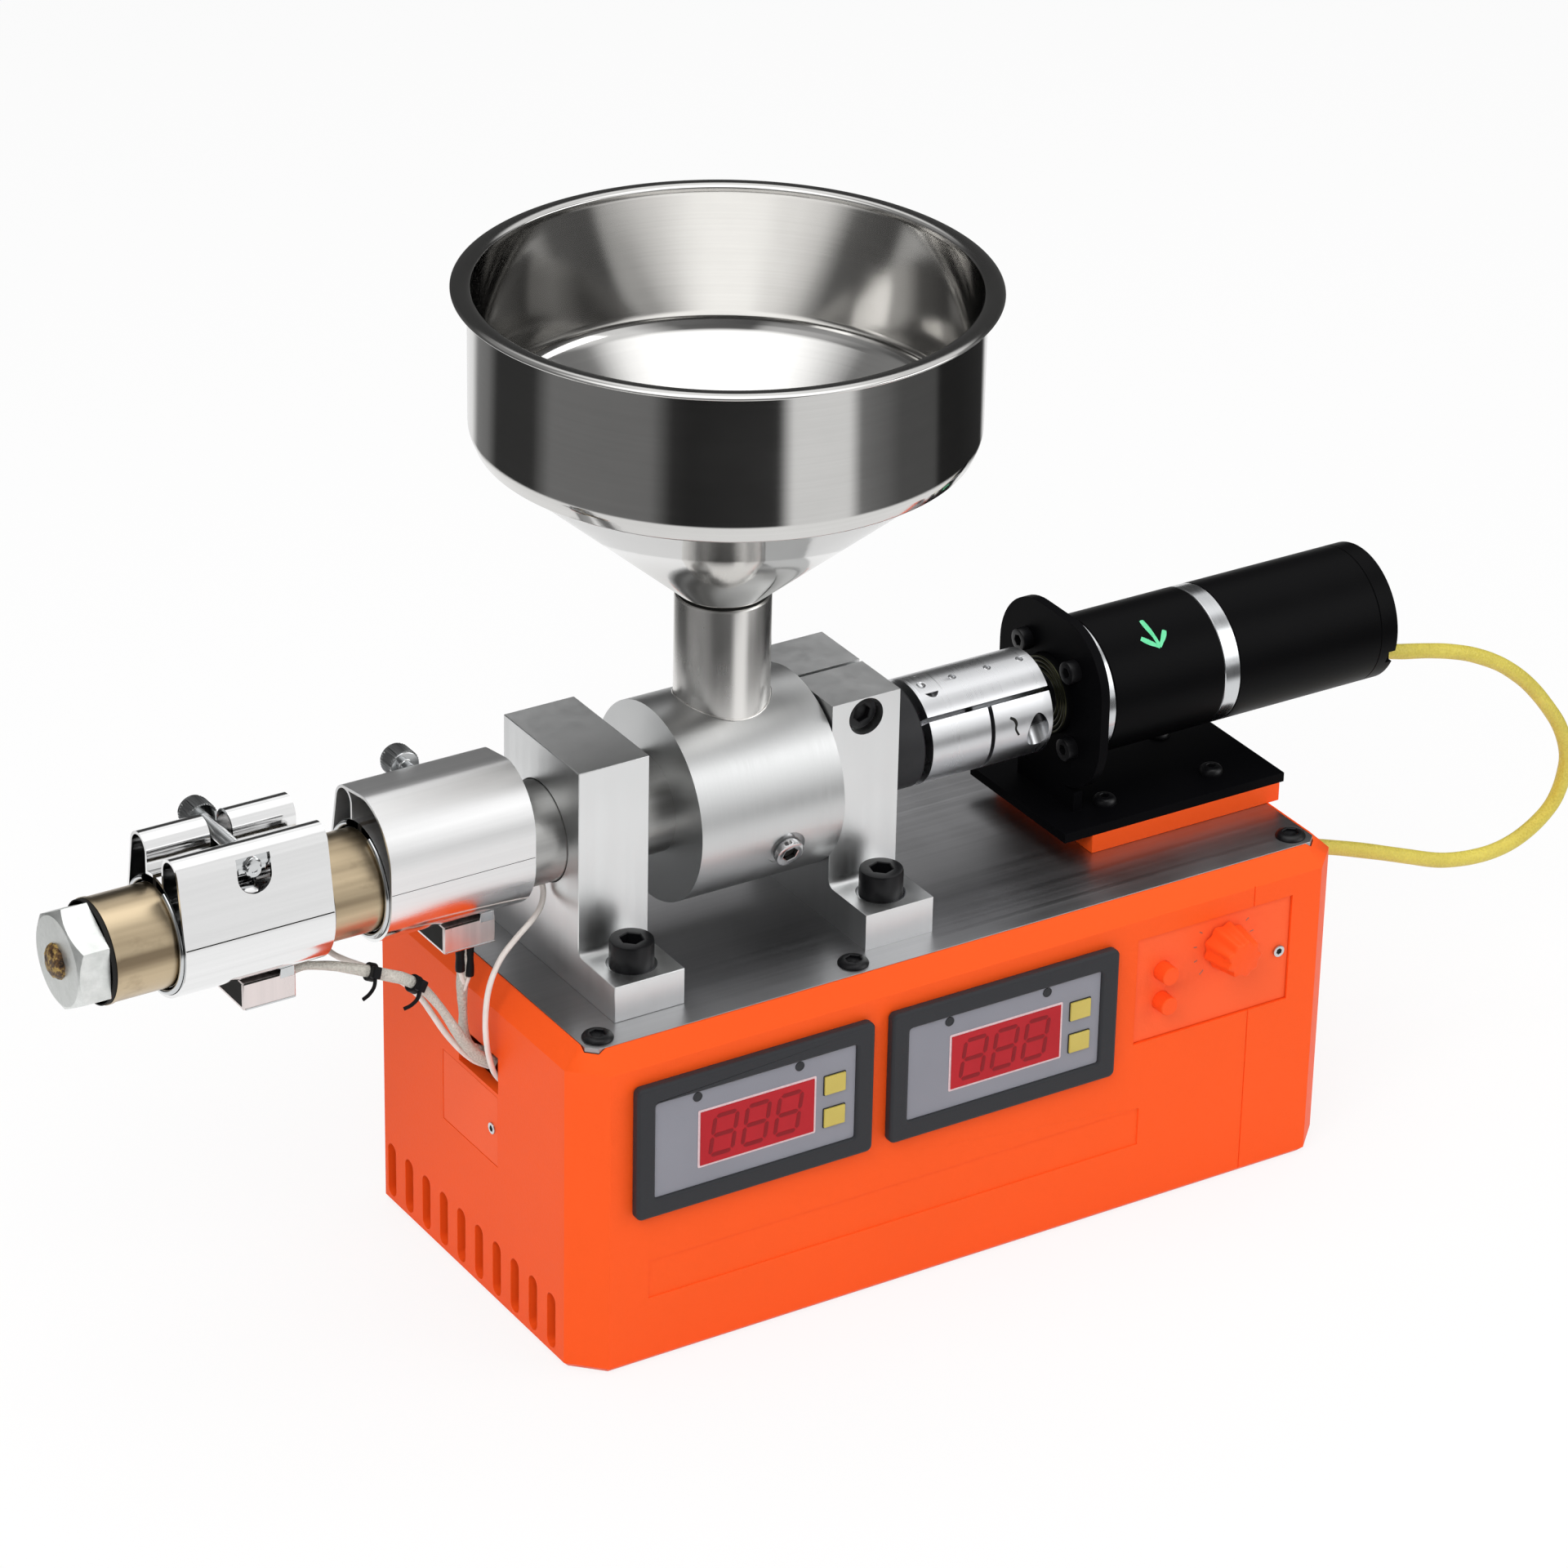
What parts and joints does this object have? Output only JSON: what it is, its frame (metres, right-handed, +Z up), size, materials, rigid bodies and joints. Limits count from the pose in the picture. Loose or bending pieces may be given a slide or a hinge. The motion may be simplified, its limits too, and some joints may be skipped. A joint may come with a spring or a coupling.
{
  "type": "desktop filament extruder",
  "caption": "Small filament extruder: a hopper above a heated barrel with band heaters, a geared motor and coupling, on a boxed control unit with temperature controllers.",
  "frame": {"origin": "centre of the underside of the housing, on the floor", "axes": "+X along the barrel towards the motor, +Y to the back, +Z up; the control panel faces -Y"},
  "size_m": [0.5277, 0.154, 0.3034],
  "materials": {
    "housing_orange": "satin moulded orange",
    "base_grey": "matt dark grey",
    "plate_grey": "brushed dark grey anodised",
    "cover_orange": "satin moulded orange, a little lighter",
    "knob_orange": "satin orange",
    "frame_charcoal": "satin charcoal",
    "face_grey": "matt blue grey",
    "display_red": "tinted window",
    "key_yellow": "membrane",
    "bracket_aluminium": "satin machined",
    "feed_aluminium": "satin turned",
    "sleeve_black": "matt black",
    "barrel_bronze": "straw heat-tinted steel",
    "cap_zinc": "satin zinc plated",
    "plug_brown": "dark heat-stained",
    "auger_steel": "turned steel",
    "coupling_aluminium": "bright turned",
    "shaft_steel": "ground steel",
    "stem_steel": "satin stainless",
    "hopper_steel": "polished stainless",
    "heater_steel": "bright stainless sheet",
    "clamp_steel": "bright plated",
    "box_steel": "brushed sheet",
    "bracket_black": "satin black",
    "motor_black": "satin black",
    "ring_silver": "turned bright",
    "cap_black": "matt black",
    "sleeve_white": "woven glass-fibre sleeve",
    "wire_white": "thin white insulation",
    "tie_black": "black tie",
    "sleeve_yellow": "varnished yellow sleeve"
  },
  "bodies": {
    "frame": {"housing": "housing_orange", "base_plate": "base_grey", "top_plate": "plate_grey", "side_cover": "cover_orange", "control_panel": "cover_orange", "left_controller_frame": "frame_charcoal", "left_controller_face": "face_grey", "left_display": "display_red", "left_keys": "key_yellow", "right_controller_frame": "frame_charcoal", "right_controller_face": "face_grey", "right_display": "display_red", "right_keys": "key_yellow", "barrel_bracket": "bracket_aluminium", "bearing_bracket": "bracket_aluminium", "feed_block": "feed_aluminium", "bearing_sleeve": "sleeve_black", "barrel": "barrel_bronze", "nozzle_cap": "cap_zinc", "outlet_plug": "plug_brown", "hopper_stem": "stem_steel", "hopper": "hopper_steel", "nozzle_heater": "heater_steel", "nozzle_heater_clamp": "clamp_steel", "nozzle_terminal_box": "box_steel", "feed_heater": "heater_steel", "feed_heater_clamp": "clamp_steel", "feed_terminal_box": "box_steel", "motor_plinth": "housing_orange", "motor_bracket": "bracket_black", "gearbox": "motor_black", "motor_rings": "ring_silver", "motor_can": "motor_black", "motor_end_cap": "cap_black", "nozzle_heater_lead": "sleeve_white", "feed_heater_lead": "sleeve_white", "nozzle_probe_lead": "wire_white", "feed_probe_lead": "wire_white", "lead_ties": "tie_black", "motor_lead": "sleeve_yellow"},
    "spindle": {"coupling": "coupling_aluminium", "auger": "auger_steel", "output_shaft": "shaft_steel"},
    "speed_knob": {"knob": "knob_orange"},
    "upper_push_button": {"upper_button": "knob_orange"},
    "lower_push_button": {"lower_button": "knob_orange"}
  },
  "joints": [
    {"name": "spindle_turn", "type": "hinge", "parent": "frame", "child": "spindle", "pos_m": [0.0315, -0.0045, 0.1475], "axis": [1, 0, 0], "continuous": true},
    {"name": "speed_knob_turn", "type": "hinge", "parent": "frame", "child": "speed_knob", "pos_m": [0.0885, -0.0622, 0.0825], "axis": [0, 1, 0], "range_deg": [-135, 135]},
    {"name": "upper_button_push", "type": "slide", "parent": "frame", "child": "upper_push_button", "axis": [0, 1, 0], "range_m": [0, 0.0015], "stiffness_N_per_m": 500},
    {"name": "lower_button_push", "type": "slide", "parent": "frame", "child": "lower_push_button", "axis": [0, 1, 0], "range_m": [0, 0.0015], "stiffness_N_per_m": 500}
  ]
}
